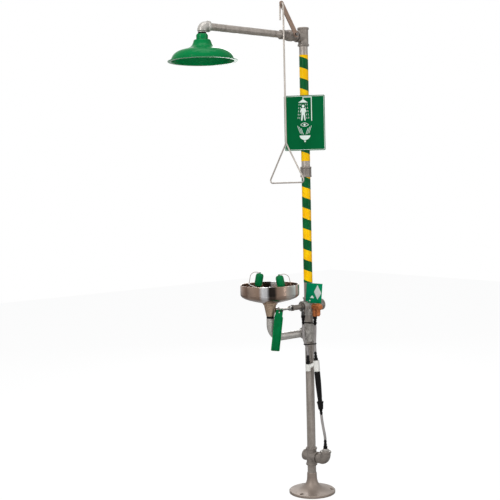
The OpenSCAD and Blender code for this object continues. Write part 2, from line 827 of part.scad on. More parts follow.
// Pull rod with its hook and triangle handle, hanging from the lever's hook hole
module pull_rod() color(rod_grey) {
  rod_r = rod_d / 2;
  wire_r = handle_wire_d / 2;
  rod_x = hook_x + hook_r;
  apex = [0, handle_h];
  side = atan2(handle_h, handle_w / 2);
  corner = [handle_w / 2 - handle_bend / tan(side / 2), handle_bend];
  side_end = corner + handle_bend * [sin(side), cos(side)] + 0.6 * [cos(side), -sin(side)];
  translate([hook_x, hole_y, hole_z - hook_r]) rotate([90, 0, 0])
    rotate_extrude(angle = 180) translate([hook_r, 0]) circle(r = rod_r);
  translate([hook_x - hook_r, hole_y, hole_z - hook_r - 62]) {
    cylinder(r = rod_r, h = 62);
    sphere(r = rod_r);
  }
  translate([rod_x, hole_y, hole_z - rod_len]) cylinder(r = rod_r, h = rod_len - hook_r);
  translate([rod_x, hole_y, hole_z - rod_len - handle_h]) {
    bar([-corner[0] - 0.6, 0, 0], [corner[0] + 0.6, 0, 0], wire_r + 0.2);
    for (s = [0, 1]) mirror([s, 0, 0]) {
      translate([corner[0], 0, corner[1]]) rotate([90, 0, 0]) rotate([0, 0, -90])
        rotate_extrude(angle = 180 - side) translate([handle_bend, 0]) circle(r = wire_r);
      bar([side_end[0], 0, side_end[1]], [apex[0], 0, apex[1]], wire_r + 0.2);
    }
    translate([0, 0, handle_h]) sphere(r = rod_r + 1.2);
  }
}

module arm_pipe() color(galvanised) {
  start = valve_end - 14.5;
  translate([0, -start, arm_z]) along(front)
    pipe(arm_r, arm_bore_r, head_reach - elbow_reach + 14.5 - start);
}

module arm_elbow() color(zinc) {
  elbow_r = 21;
  curve = 22;
  shank = arm_z - collar_top + 17;
  translate([0, -head_reach, arm_z]) rotate([0, 0, 90]) mirror([0, 0, 1]) difference() {
    union() {
      bend(elbow_r, curve);
      translate([curve - 0.01, 0, 0]) along(right) cylinder(r = elbow_r, h = 6);
      translate([elbow_reach - 11, 0, 0]) along(right) cylinder(r1 = elbow_r, r2 = 25, h = 3);
      translate([elbow_reach - 8, 0, 0]) along(right) cylinder(r = 25, h = 8);
      translate([0, 0, curve]) cylinder(r1 = elbow_r, r2 = arm_r, h = 4);
      translate([0, 0, curve]) cylinder(r = arm_r, h = shank - curve);
    }
    bend(11, curve);
    translate([curve, 0, 0]) along(right) cylinder(r = 11, h = 30);
    translate([elbow_reach - 15, 0, 0]) along(right) cylinder(r = arm_r + fit_gap, h = 20);
    translate([0, 0, curve]) cylinder(r = 11, h = 60);
  }
}

module head_gasket() color(black_nylon) {
  translate([0, -head_reach, collar_top + 0.1]) pipe(arm_r + 2.2, arm_r + fit_gap, 7);
}

function bell_lines() = let (r = head_d / 2) concat(
  bezier([38.5, bell_h - 29], [45, 62], [62, 58], [95, 50], 10),
  [for (p = bezier([95, 50], [r - 36, 43.7], [r - 20, 30], [r - 15, 5], 9)) if (p[0] > 95.1) p]);

module shower_head() color(safety_green) {
  r = head_d / 2;
  outside = bell_lines();
  inside = inset(outside, bell_wall);
  translate([0, -head_reach, head_z]) difference() {
    rotate_extrude() polygon(concat(
      [[0, bell_h], [23, bell_h], [26.5, bell_h - 5], [26.5, bell_h - 25], [36, bell_h - 26]],
      outside, [[r - 1.5, 3.2], [r, 1.6], [r - 1, 0], [r - 13 - bell_wall, 0]],
      reversed([for (p = inside) if (p[1] > 1 && p[0] > 32) p]), [[30, bell_h - 31], [0, bell_h - 31]]));
    translate([0, 0, bell_h - 20]) cylinder(r = arm_r + fit_gap, h = 30);
    translate([0, 0, bell_h - 40]) cylinder(r = 14, h = 40);
  }
}

module head_diffuser() color(safety_green) {
  disc_z = 58;
  translate([0, -head_reach, head_z]) {
    translate([0, 0, bell_h - 42]) pipe(14 - fit_gap, 11, 20);
    for (k = [0 : 2]) rotate([0, 0, 120 * k + 30]) translate([11, -2, disc_z])
      cube([3.4, 4, bell_h - 42 - disc_z + 2]);
    translate([0, 0, disc_z - 2]) cylinder(r1 = 40, r2 = 36, h = 3);
    translate([0, 0, disc_z]) cylinder(r1 = 36, r2 = 14, h = 2);
    for (k = [0 : 15]) rotate([0, 0, 22.5 * k]) translate([36, -2, disc_z - 2]) cube([10, 4, 2.5]);
  }
}

// ---- Bowl ----

function bowl_lines() = bezier([bowl_r, -bowl_wall_h], [bowl_r, -66], [98, -74],
  [tail_flange_r, -bowl_depth], 14);

module bowl() color(polished) {
  outside = concat([[bowl_r, -3]], bowl_lines(), [[24, -bowl_depth]]);
  inside = inset(outside, bowl_wall);
  translate([0, -bowl_reach, rim_z]) {
    rotate_extrude() polygon(concat(outside, [[24, -bowl_depth + bowl_wall]],
      reversed([for (p = inside) if (p[0] > 26) p])));
    rotate_extrude() translate([bowl_r - 2.2, -2.4]) circle(r = 2.4, $fn = 24);
  }
}

module bowl_strainer() color(chrome) {
  translate([0, -bowl_reach, bowl_base_z + bowl_wall + 0.1]) difference() {
    cylinder(r1 = 33, r2 = 31, h = 2);
    translate([0, 0, -1]) cylinder(r = riser_r + 0.4, h = 5);
    for (k = [0 : 11], q = [17, 25]) rotate([0, 0, 30 * k + q]) translate([q, 0, -1])
      cylinder(r = 2.2, h = 5);
  }
}

// Cast tailpiece under the bowl, with the feed boss on its back
module tailpiece() color(polished) {
  low = tail_low_z - bowl_base_z;
  boss_z = supply_z - bowl_base_z;
  translate([0, -bowl_reach, bowl_base_z]) difference() {
    union() {
      rotate_extrude() polygon([[0, -0.1], [tail_flange_r, -0.1], [tail_flange_r, -4], [33, -5], [33, -8],
        [31, -9.5], [tail_top_r, -12], [tube_r + 0.3, low], [0, low]]);
      translate([0, 0, boss_z]) along(back) cylinder(r = 11, h = 22.8);
    }
    rotate_extrude()
      polygon([[0, 1], [24, 1], [tail_top_r - 3.5, -14], [tube_r - 3.5, low - 1], [0, low - 1]]);
    translate([0, 0, boss_z]) along(back) cylinder(r = 7 + fit_gap, h = 40);
  }
}

module slip_nut() color(black_nylon) {
  translate([0, -bowl_reach, tube_top_z + 0.1]) difference() {
    union() {
      cylinder(r = tube_r - 1.5, h = 10.8);
      translate([0, 0, 3.4]) cylinder(r = tube_r, h = 4);
    }
    translate([0, 0, -1]) cylinder(r = tube_r - 4, h = 20);
  }
}

module drain_tube_solid(r) {
  run = bowl_reach - tube_bend - fit_reach + thread_depth - 1;
  translate([0, -bowl_reach, waste_tee_z]) rotate([0, 0, 90]) {
    translate([0, 0, tube_bend]) cylinder(r = r, h = tube_top_z - waste_tee_z - tube_bend);
    bend(r, tube_bend);
    translate([tube_bend, 0, 0]) along(right) cylinder(r = r, h = run);
  }
}

module drain_tube() color(zinc) {
  difference() {
    union() {
      drain_tube_solid(tube_r);
      translate([0, -fit_reach - 2, waste_tee_z]) along(back) cylinder(r = pipe_r, h = thread_depth);
    }
    drain_tube_solid(tube_r - tube_wall);
  }
}

// Places children in a spray head's leaning frame: side 0 is right, side 1 is left
module at_head(side) {
  translate([0, -bowl_reach, yoke_z]) rotate([0, 0, 180 * side]) translate([head_x, 0, 0])
    rotate([0, 0, bail_turn]) rotate([0, -head_lean, 0]) children();
}

module spray_yoke() color(chrome) {
  translate([0, -bowl_reach, 0]) difference() {
    union() {
      translate([0, 0, supply_z - 11]) cylinder(r = riser_r, h = yoke_z - supply_z + 11);
      translate([0, 0, supply_z]) along(back) cylinder(r = riser_r, h = 14);
      translate([0, 0, yoke_z]) sphere(r = 12);
      bar([-head_x, 0, yoke_z], [head_x, 0, yoke_z], 8);
      for (s = [-1, 1]) translate([s * head_x, 0, yoke_z]) sphere(r = 11);
    }
    translate([0, 0, supply_z - 8]) cylinder(r = riser_r - 2.5, h = yoke_z - supply_z);
    translate([0, 0, supply_z]) along(back) cylinder(r = 4.5, h = 20);
    translate([0, 6, supply_z]) along(back) cylinder(r = feed_r + fit_gap, h = 20);
  }
  for (s = [0, 1]) at_head(s) difference() {
    union() {
      cylinder(r = 7, h = 20);
      bar([0, 0, 0], [bail_out, 0, eye_t], 2.8);
      translate([bail_out, 0, eye_t - 4]) cylinder(r = 4.6, h = 8);
    }
    translate([bail_out, 0, eye_t - 10]) cylinder(r = bail_r + 0.4, h = 20);
  }
}

module spray_heads() color(safety_green) {
  for (s = [0, 1]) at_head(s) difference() {
    rotate_extrude()
      polygon([[0, 10], [11, 10], [14.5, 12.5], [17, 17], [cap_d / 2 - 0.4, 24], [cap_d / 2, 30],
      [cap_d / 2, cap_low - 0.3], [14.5, cap_low - 0.3], [14.5, cap_low + 22], [13, cap_low + 25],
        [0, cap_low + 27]]);
    translate([0, 0, 5]) cylinder(r = 7 + fit_gap, h = 15.3);
    for (k = [0 : 7]) rotate([0, 0, 45 * k]) translate([9, 0, cap_low + 18]) cylinder(r = 1.2, h = 20);
  }
}

module dust_cap(side) {
  r = cap_d / 2;
  dome = bezier([r, cap_top - 15], [r, cap_top - 4], [r - 6, cap_top], [r - 13, cap_top], 7);
  inner = cap_top - cap_wall;
  at_head(side) difference() {
    union() {
      rotate_extrude()
        polygon(concat([[r - cap_wall, cap_low], [r, cap_low]], dome, [[0, cap_top], [0, inner],
        [r - 14, inner], [r - cap_wall - 4, inner - 4], [r - cap_wall, inner - 13]]));
      translate([0, 0, cap_top - 0.5]) cylinder(r = 4, h = 5.5);
    }
    translate([-2, 0, bail_t]) along(right) cylinder(r = bail_r + 0.1, h = 20);
  }
}

module dust_cap_left() color(safety_green) {
  dust_cap(1);
}

module dust_cap_right() color(safety_green) {
  dust_cap(0);
}

// Wire bail from the cap's crown to the guide eye
module cap_bail(side) {
  at_head(side) {
    bar([-1, 0, bail_t], [bail_out - bail_bend, 0, bail_t], bail_r);
    translate([bail_out - bail_bend, 0, bail_t - bail_bend]) rotate([90, 0, 0])
      rotate_extrude(angle = 90) translate([bail_bend, 0]) circle(r = bail_r, $fn = 24);
    bar([bail_out, 0, leg_low], [bail_out, 0, bail_t - bail_bend], bail_r);
  }
}

module cap_bail_left() color(chrome) {
  cap_bail(1);
}

module cap_bail_right() color(chrome) {
  cap_bail(0);
}

floor_flange();
flange_riser();
drain_cross();
drain_elbow();
elbow_bushing();
hose_barbs();
lower_drain_hose();
drain_sleeve();
hose_manifold();
bleed_hose_left();
bleed_hose_right();
cable_ties();
freeze_bleed_valve();
scald_bleed_valve();
stanchion_pipe();
waste_tee();
divider_nipple();
supply_cross();
inlet_nipple();
inlet_coupling();
line_strainer();
line_union();
line_nipple();
eyewash_valve_body();
eyewash_ball();
eyewash_stem();
push_paddle();
paddle_nut();
post_pipe_lower();
post_coupling();
post_pipe_upper();
warning_tapes();
inspection_tag();
sign_panel();
sign_clamps();
fasteners();
top_tee();
top_plug();
shower_valve_body();
shower_ball();
shower_stem();
shower_lever();
lever_nut();
pull_rod();
arm_pipe();
arm_elbow();
head_gasket();
shower_head();
head_diffuser();
bowl();
bowl_strainer();
tailpiece();
slip_nut();
drain_tube();
spray_yoke();
spray_heads();
dust_cap_left();
dust_cap_right();
cap_bail_left();
cap_bail_right();
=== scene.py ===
import math

import bpy
from mathutils import Matrix, Vector


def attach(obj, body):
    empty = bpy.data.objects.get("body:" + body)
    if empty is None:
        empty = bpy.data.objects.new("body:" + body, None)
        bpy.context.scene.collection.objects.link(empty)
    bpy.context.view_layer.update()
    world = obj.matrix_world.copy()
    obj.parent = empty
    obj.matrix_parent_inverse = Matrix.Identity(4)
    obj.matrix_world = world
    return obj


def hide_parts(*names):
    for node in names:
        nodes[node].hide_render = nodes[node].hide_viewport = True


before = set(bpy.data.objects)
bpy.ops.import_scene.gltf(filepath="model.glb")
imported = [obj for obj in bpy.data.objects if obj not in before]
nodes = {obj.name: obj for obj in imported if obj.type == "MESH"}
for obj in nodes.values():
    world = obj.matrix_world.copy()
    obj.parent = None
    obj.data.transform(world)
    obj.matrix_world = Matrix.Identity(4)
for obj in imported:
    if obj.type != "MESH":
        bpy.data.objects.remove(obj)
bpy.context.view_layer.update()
TAU = 2 * math.pi

# ---------------------------------------------------------------- camera

# Fitted to points measured in the photograph. The station's front is -Y, and the camera
# stands CAM_AZ to the right of it.
CAM_AZ = math.radians(47.0)
CAM_AIM = math.radians(3.46)  # it looks this far to the left of the post
CAM_PITCH = math.radians(3.72)
CAM_ROLL = math.radians(-1.38)
CAM_DISTANCE = 4.677
CAM_HEIGHT = 1.520
SENSOR_MM = 36
LENS_MM = 68.57

yaw = math.atan2(math.cos(CAM_AZ), -math.sin(CAM_AZ)) + CAM_AIM
look = Vector((math.cos(yaw) * math.cos(CAM_PITCH),
               math.sin(yaw) * math.cos(CAM_PITCH),
               -math.sin(CAM_PITCH)))
side = Vector((math.sin(yaw), -math.cos(yaw), 0))
upward = side.cross(look)
cam_x = math.cos(CAM_ROLL) * side + math.sin(CAM_ROLL) * upward
cam_y = math.cos(CAM_ROLL) * upward - math.sin(CAM_ROLL) * side
cam = bpy.data.objects.new("camera", bpy.data.cameras.new("camera"))
cam.data.sensor_width = SENSOR_MM
cam.data.lens = LENS_MM
cam.data.clip_end = 50
cam.matrix_world = Matrix((
    (cam_x.x, cam_y.x, -look.x, CAM_DISTANCE * math.sin(CAM_AZ)),
    (cam_x.y, cam_y.y, -look.y, -CAM_DISTANCE * math.cos(CAM_AZ)),
    (cam_x.z, cam_y.z, -look.z, CAM_HEIGHT),
    (0, 0, 0, 1)))
bpy.context.scene.collection.objects.link(cam)
bpy.context.scene.camera = cam
bpy.context.scene.view_settings.view_transform = "Standard"


# ---------------------------------------------------------------- materials

def srgb(r, g, b):
    """Linear colour of an 8-bit sRGB colour."""
    def linear(c):
        return c / 12.92 if c <= 0.04045 else ((c + 0.055) / 1.055) ** 2.4
    return [linear(r / 255), linear(g / 255), linear(b / 255), 1]


EDGE_NONE, EDGE_FULL = 0.985, 0.80  # cosines between a flat and a rounded normal


class Tree:
    """A short way to write the nodes of a material or a world."""

    def __init__(self, owner, kind="Material"):
        self.owner = owner
        owner.use_nodes = True
        self.t = owner.node_tree
        self.t.nodes.clear()
        self.out = self.t.nodes.new("ShaderNodeOutput" + kind)

    def add(self, kind, inputs=None, **props):
        n = self.t.nodes.new("ShaderNode" + kind)
        for k, v in props.items():
            setattr(n, k, v)
        for k, v in (inputs or {}).items():
            self.set(n.inputs[k], v)
        return n

    def set(self, socket, v):
        if isinstance(v, bpy.types.NodeSocket):
            self.t.links.new(v, socket)
        elif isinstance(v, bpy.types.Node):
            self.t.links.new(v.outputs[0], socket)
        else:
            socket.default_value = v

    def math(self, op, a, b=0.0, c=0.0, clamp=False):
        return self.add("Math", {0: a, 1: b, 2: c}, operation=op, use_clamp=clamp).outputs[0]

    def mix(self, f, a, b, blend="MIX"):
        n = self.add("Mix", {0: f, 6: a, 7: b}, data_type="RGBA", blend_type=blend)
        return n.outputs[2]

    def coords(self, scale=(1, 1, 1)):
        c = self.add("TexCoord").outputs["Object"]
        if scale == (1, 1, 1):
            return c
        return self.add("Mapping", {"Vector": c, "Scale": scale}).outputs[0]

    def noise(self, scale, detail=3.0, rough=0.5, vec=None):
        return self.add("TexNoise", {"Vector": vec or self.coords(), "Scale": scale,
                                     "Detail": detail, "Roughness": rough}).outputs[0]

    def wobble(self, scale, amount, detail=2.0, vec=None):
        """A smooth value between about -amount / 2 and amount / 2."""
        centred = self.math("SUBTRACT", self.noise(scale, detail, vec=vec), 0.5)
        return self.math("MULTIPLY", centred, amount)

    def ramp(self, v, a, b):
        """v stretched so that a becomes 0 and b becomes 1."""
        return self.add("MapRange", {0: v, 1: a, 2: b, 3: 0.0, 4: 1.0}).outputs[0]

    def edges(self, radius):
        """1 on sharp edges and 0 on flat ground, and the normal with those edges rounded."""
        bevel = self.add("Bevel", {"Radius": radius}, samples=6)
        plain = self.add("NewGeometry").outputs["Normal"]
        dot = self.add("VectorMath", {0: bevel.outputs[0], 1: plain},
                       operation="DOT_PRODUCT").outputs["Value"]
        return self.ramp(dot, EDGE_NONE, EDGE_FULL), bevel.outputs[0]

    def round_axis(self, x, y, front):
        """x and y turned to a front direction, and the turns from it, -0.5 to 0.5."""
        ahead = self.math("MULTIPLY_ADD", x, front[0], self.math("MULTIPLY", y, front[1]))
        aside = self.math("MULTIPLY_ADD", x, -front[1], self.math("MULTIPLY", y, front[0]))
        return ahead, aside, self.math("DIVIDE", self.math("ARCTAN2", aside, ahead), TAU)


COAT_ROUGH = 0.08
PAINTED_SHADE_LEFT = 0.35  # how much of the colour is left under full painted shade


def surface(name, colour, rough, metal=0.0, tint=0.12, patch=14.0, grain=900.0,
            grain_h=0.00004, wear=0.0, wear_colour=None, rough_var=0.08, coat=0.0, painted_shade=0.0,
            bevel=0.0006, dent_h=0.0, spec=0.22, streak=0.0, hollow=0.012, extra=None):
    """A painted, cast, plated or moulded surface.

    patch is the scale of the patches, tint how far they go lighter and darker, and dent_h
    their height. grain and grain_h are the scale and height of the fine bumps. wear lightens
    the edges, painted_shade paints shade into hollows up to the distance hollow, as ambient
    occlusion darkens them, and streak draws upright streaks. extra(k, col) may add to the colour.
    """
    k = Tree(bpy.data.materials.new(name))
    big = k.noise(patch, 4.0, 0.6)
    fine = k.noise(grain, 2.0, 0.6)
    light = [min(1, c * (1 + tint)) for c in colour[:3]] + [1]
    dark = [c * (1 - tint) for c in colour[:3]] + [1]
    col = k.mix(k.ramp(big, 0.32, 0.68), dark, light)
    if streak:
        s = k.noise(60.0, 2.0, 0.5, k.coords((1, 1, 0.05)))
        col = k.mix(k.math("MULTIPLY", k.ramp(s, 0.45, 0.75), streak), col, dark, "MULTIPLY")
    if extra:
        col = extra(k, col)
    edge, soft = k.edges(bevel)
    if wear:
        chip = k.ramp(k.noise(420.0, 3.0, 0.6), 0.42, 0.6)
        worn = k.math("MULTIPLY", k.math("MULTIPLY", edge, chip), wear)
        col = k.mix(worn, col, wear_colour)
    # Painted shade: ambient occlusion darkens the colour in hollows and where parts meet.
    if painted_shade:
        ao = k.add("AmbientOcclusion", {"Distance": hollow}, samples=4).outputs["AO"]
        shade_colour = [c * PAINTED_SHADE_LEFT for c in colour[:3]] + [1]
        col = k.mix(k.math("MULTIPLY", k.ramp(ao, 0.75, 0.25), painted_shade), col, shade_colour)
    patches = k.ramp(k.noise(patch * 5, 3.0, 0.6), 0.3, 0.7)
    r = k.math("MULTIPLY_ADD", patches, rough_var, rough - rough_var / 2, True)
    bump = k.add("Bump", {"Height": fine, "Distance": grain_h, "Strength": 1.0, "Normal": soft})
    if dent_h:
        bump = k.add("Bump", {"Height": big, "Distance": dent_h, "Strength": 1.0,
                              "Normal": bump})
    k.set(k.out.inputs[0], k.add("BsdfPrincipled", {
        "Base Color": col, "Roughness": r, "Metallic": metal, "Normal": bump,
        "Coat Weight": coat, "Coat Roughness": COAT_ROUGH, "Specular IOR Level": spec}))
    return k.owner


ZINC_LIGHT = srgb(205, 200, 192)


def spangle(k, col):
    """The faint crystal pattern of hot-dip zinc."""
    v = k.add("TexVoronoi", {"Vector": k.coords(), "Scale": 130.0}, feature="F1")
    grey = k.add("RGBToBW", {0: v.outputs["Color"]}).outputs[0]
    return k.mix(k.math("MULTIPLY", k.ramp(grey, 0.2, 0.8), 0.16), col, ZINC_LIGHT)


TAPE_FRONT = (0.68, -0.73)  # the tapes' joint is opposite
TAPE_SPLIT = 1.6  # a height between the two tapes
TAPE_LOWER = 1.0836  # the height where the stripes of each tape are counted from
TAPE_UPPER = 1.6601
TAPE_PITCH = 0.1016  # a green and a yellow stripe
TAPE_SLANT = 0.046  # a stripe's rise in one turn


def tape_stripes(k, col):
    """Green and yellow bands, slightly slanted, with the tape's joint at the back."""
    x, y, z = k.add("SeparateXYZ", {0: k.coords()}).outputs
    turn = k.round_axis(x, y, TAPE_FRONT)[2]
    upper = k.math("GREATER_THAN", z, TAPE_SPLIT)
    start = k.math("MULTIPLY_ADD", upper, TAPE_UPPER - TAPE_LOWER, TAPE_LOWER)
    along = k.math("MULTIPLY_ADD", turn, TAPE_SLANT, k.math("SUBTRACT", z, start))
    along = k.math("ADD", along, k.wobble(40.0, 0.0012))
    s = k.math("FRACT", k.math("DIVIDE", along, TAPE_PITCH))
    band = k.ramp(k.math("ABSOLUTE", k.math("SUBTRACT", s, 0.5)), 0.246, 0.254)
    fade = k.ramp(k.noise(30.0), 0.3, 0.7)
    green = k.mix(fade, srgb(0, 76, 36), srgb(2, 98, 48))
    yellow = k.mix(fade, srgb(250, 184, 0), srgb(255, 206, 4))
    seam = k.ramp(k.math("ABSOLUTE", turn), 0.492, 0.497)
    return k.mix(k.math("MULTIPLY", seam, 0.5), k.mix(band, green, yellow), srgb(20, 50, 20))


def painted_reflection_bands(k, col):
    """Painted reflection of a pale room, as on bright plating: bright above, dark at the horizon
    and mid below.
    """
    n = k.add("SeparateXYZ", {0: k.add("NewGeometry").outputs["Normal"]}).outputs[2]
    n = k.math("ADD", n, k.wobble(90.0, 0.25))
    dark = k.math("MULTIPLY", k.ramp(n, -0.55, -0.25), k.ramp(n, 0.22, 0.02))
    return k.mix(k.math("MULTIPLY", dark, 0.8), col, srgb(50, 46, 42))


BOWL_FRONT = (0.758, -0.652)  # the middle of the bands
BOWL_AXIS = 0.25  # the bowl's axis is this far ahead of the post
BOWL_LOW, BOWL_WALL = 0.985, 1.018  # heights where the bands are soft, and where they are clear
BROWN, TAN, PALE, DARK = (150, 125, 108), (176, 152, 136), (230, 230, 232), (24, 18, 16)
# The painted reflection's colours round the bowl, with BOWL_FRONT at 0.5.
BOWL_REFLECTION_STOPS = [
    (0.001, DARK), (0.035, DARK), (0.045, BROWN), (0.12, TAN), (0.20, BROWN),
    (0.245, (110, 88, 76)), (0.27, BROWN), (0.36, (140, 112, 96)), (0.375, TAN),
    (0.440, BROWN), (0.460, PALE), (0.484, PALE), (0.497, DARK), (0.527, DARK),
    (0.543, BROWN), (0.59, TAN), (0.602, (206, 194, 182)), (0.66, (212, 220, 214)),
    (0.672, TAN), (0.76, BROWN), (0.80, (100, 82, 72)), (0.86, BROWN), (0.955, TAN),
    (0.965, PALE), (0.990, PALE), (0.997, DARK)]


def bowl_painted_reflection(k, col):
    """Painted reflection round the wall of spun and polished steel: upright bands of a pale and
    brown room.
    """
    x, y, z = k.add("SeparateXYZ", {0: k.coords()}).outputs
    ahead, aside, turn = k.round_axis(x, k.math("ADD", y, BOWL_AXIS), BOWL_FRONT)
    ring = k.add("CombineXYZ", {0: ahead, 1: aside, 2: k.math("MULTIPLY", z, 0.6)})
    wob = k.wobble(30.0, 0.016, vec=ring.outputs[0])
    ramp = k.add("ValToRGB", {0: k.math("ADD", k.math("ADD", turn, 0.5), wob)})
    stops = ramp.color_ramp.elements
    for at, colour in BOWL_REFLECTION_STOPS:
        stops.new(at).color = srgb(*colour)
    stops.remove(stops[0])  # the two stops that a new ramp comes with
    stops.remove(stops[-1])
    wall = k.ramp(z, BOWL_LOW, BOWL_WALL)
    soft = k.mix(0.55, ramp.outputs[0], srgb(134, 110, 94))
    return k.mix(0.92, col, k.mix(wall, soft, ramp.outputs[0]))


M = {
    "cast": surface(
        "cast_zinc", srgb(134, 126, 119), 0.44, metal=0.35, tint=0.24, patch=26, grain=520,
        grain_h=0.00018, wear=0.5, wear_colour=ZINC_LIGHT, rough_var=0.18, painted_shade=0.8,
        dent_h=0.0004, spec=0.3),
    # Painted light: a lighter copy of cast zinc brightens the waste tee and supply cross under the
    # bowl's shadow; the arm elbow shares it.
    "lit_cast": surface(
        "lit_cast_zinc", srgb(170, 166, 160), 0.42, metal=0.35, tint=0.20, patch=26, grain=520,
        grain_h=0.00018, wear=0.5, wear_colour=ZINC_LIGHT, rough_var=0.18, painted_shade=0.6,
        dent_h=0.0004, spec=0.3),
    "base": surface(
        "base_zinc", srgb(146, 133, 123), 0.45, metal=0.35, patch=9, grain=700,
        grain_h=0.00008, wear=0.4, wear_colour=ZINC_LIGHT, rough_var=0.14, painted_shade=0.5,
        dent_h=0.0005, spec=0.3),
    "pipe": surface(
        "pipe_zinc", srgb(158, 149, 141), 0.36, metal=0.4, patch=16, grain_h=0.00003, wear=0.2,
        wear_colour=ZINC_LIGHT, rough_var=0.12, painted_shade=0.5, streak=0.5, spec=0.3,
        extra=spangle),
    "plated": surface(
        "zinc_plate", srgb(184, 179, 173), 0.30, metal=0.5, tint=0.10, patch=30, grain=1100,
        grain_h=0.00001, wear=0.12, wear_colour=ZINC_LIGHT, rough_var=0.12, painted_shade=0.7,
        spec=0.3),
    "rod": surface(
        "bright_rod", srgb(176, 168, 160), 0.34, metal=0.35, tint=0.06, patch=25,
        grain_h=0.00001, rough_var=0.10, painted_shade=0.3, bevel=0.0002),
    "lever": surface(
        "lever_steel", srgb(140, 118, 104), 0.38, metal=0.45, tint=0.16, patch=30, grain=700,
        wear=0.4, wear_colour=ZINC_LIGHT, rough_var=0.14, painted_shade=0.5),
    # The head's painted shade reaches 0.16 m, far wider than on the other looks.
    "head": surface(
        "head_green", srgb(0, 122, 64), 0.22, tint=0.06, patch=8, grain=260, grain_h=0.00003,
        coat=0.11, bevel=0.0012, dent_h=0.0002, spec=0.02, painted_shade=0.85, hollow=0.16),
    "green": surface(
        "moulded_green", srgb(0, 112, 60), 0.36, patch=20, grain=600, grain_h=0.00003,
        wear=0.2, wear_colour=srgb(10, 135, 78), rough_var=0.10, coat=0.06, painted_shade=0.6,
        spec=0.06),
    "paddle": surface(
        "paddle_green", srgb(0, 116, 62), 0.40, tint=0.16, patch=16, grain=480,
        grain_h=0.00006, wear=0.5, wear_colour=srgb(50, 130, 90), rough_var=0.12, coat=0.04,
        painted_shade=0.5, bevel=0.001, spec=0.06),
    "sign": surface(
        "sign_green", srgb(0, 92, 50), 0.42, tint=0.06, patch=10, grain_h=0.00001, wear=0.2,
        wear_colour=srgb(30, 130, 80), spec=0.05),
    "tag": surface(
        "tag_green", srgb(0, 130, 86), 0.40, grain_h=0.00001, wear=0.2,
        wear_colour=srgb(30, 150, 105), spec=0.05),
    "print": surface(
        "white_print", srgb(226, 238, 230), 0.45, tint=0.03, patch=30, grain_h=0.000005,
        bevel=0.0002),
    "print_soft": surface(
        "pale_print", srgb(196, 205, 200), 0.45, tint=0.06, patch=60, grain_h=0.000005,
        bevel=0.0002),
    "tape": surface(
        "warning_tape", srgb(255, 195, 0), 0.42, tint=0.05, patch=20, grain_h=0.00002,
        rough_var=0.12, coat=0.07, spec=0.08, extra=tape_stripes),
    "black": surface(
        "black_nylon", srgb(17, 16, 16), 0.46, tint=0.25, patch=60, wear=0.3,
        wear_colour=srgb(60, 58, 56), rough_var=0.14, painted_shade=0.3, spec=0.1),
    "gasket": surface(
        "black_gasket", srgb(14, 14, 14), 0.6, tint=0.2, patch=60, grain_h=0.00006, spec=0.08),
    "hose": surface(
        "hose_grey", srgb(150, 145, 143), 0.45, tint=0.10, patch=50, grain=700, rough_var=0.12,
        streak=0.4),
    "white": surface(
        "white_moulding", srgb(224, 223, 217), 0.38, tint=0.04, patch=40, grain=700,
        grain_h=0.00003, wear=0.2, wear_colour=srgb(240, 240, 236), painted_shade=0.5),
    "bronze": surface(
        "cast_bronze", srgb(190, 114, 68), 0.36, metal=0.5, tint=0.28, patch=60, grain=500,
        grain_h=0.00014, wear=0.5, wear_colour=srgb(236, 172, 124), rough_var=0.16, painted_shade=0.8),
    "chrome": surface(
        "chrome_plate", srgb(214, 212, 209), 0.14, metal=1.0, tint=0.03, patch=40, grain=1500,
        grain_h=0.000004, rough_var=0.05, painted_shade=0.5, bevel=0.0004, extra=painted_reflection_bands),
    "steel": surface(
        "polished_steel", srgb(150, 138, 128), 0.17, metal=0.9, tint=0.06, patch=12,
        grain=1400, grain_h=0.000006, painted_shade=0.35, extra=bowl_painted_reflection),
    "tail": surface(
        "tail_steel", srgb(176, 152, 130), 0.24, metal=0.7, tint=0.08, patch=24, grain=1200,
        grain_h=0.00001, rough_var=0.1, painted_shade=0.6),
}

LOOK = {
    "base": ["floor_flange"],
    "pipe": ["flange_riser", "stanchion_pipe", "divider_nipple", "post_pipe_lower",
             "post_pipe_upper", "inlet_nipple", "arm_pipe"],
    "lit_cast": ["waste_tee", "supply_cross", "arm_elbow"],
    "cast": ["drain_cross", "drain_elbow", "inlet_coupling", "post_coupling", "top_tee",
             "top_plug", "shower_valve_body", "line_strainer"],
    "plated": ["elbow_bushing", "sign_clamps", "fasteners", "drain_tube"],
    "chrome": ["freeze_bleed_valve", "line_union", "line_nipple", "eyewash_valve_body",
               "eyewash_ball", "eyewash_stem", "paddle_nut", "shower_ball", "shower_stem",
               "lever_nut", "bowl_strainer", "spray_yoke"],
    "steel": ["bowl"],
    "tail": ["tailpiece"],
    "black": ["hose_barbs", "drain_sleeve", "cable_ties", "slip_nut"],
    "gasket": ["head_gasket"],
    "white": ["hose_manifold"],
    "bronze": ["scald_bleed_valve"],
    "paddle": ["push_paddle"],
    "tape": ["warning_tapes"],
    "tag": ["inspection_tag"],
    "sign": ["sign_panel"],
    "lever": ["shower_lever", "cap_bail_left", "cap_bail_right"],
    "rod": ["pull_rod"],
    "head": ["shower_head", "head_diffuser"],
    "green": ["spray_heads", "dust_cap_left", "dust_cap_right"],
    "hose": ["lower_drain_hose", "bleed_hose_left", "bleed_hose_right"],
}
for look_name, names in LOOK.items():
    for n in names:
        slots = nodes[n].data.materials
        if len(slots) == 0:
            slots.append(M[look_name])
        for i in range(len(slots)):
            slots[i] = M[look_name]


# ---------------------------------------------------------------- mesh helpers

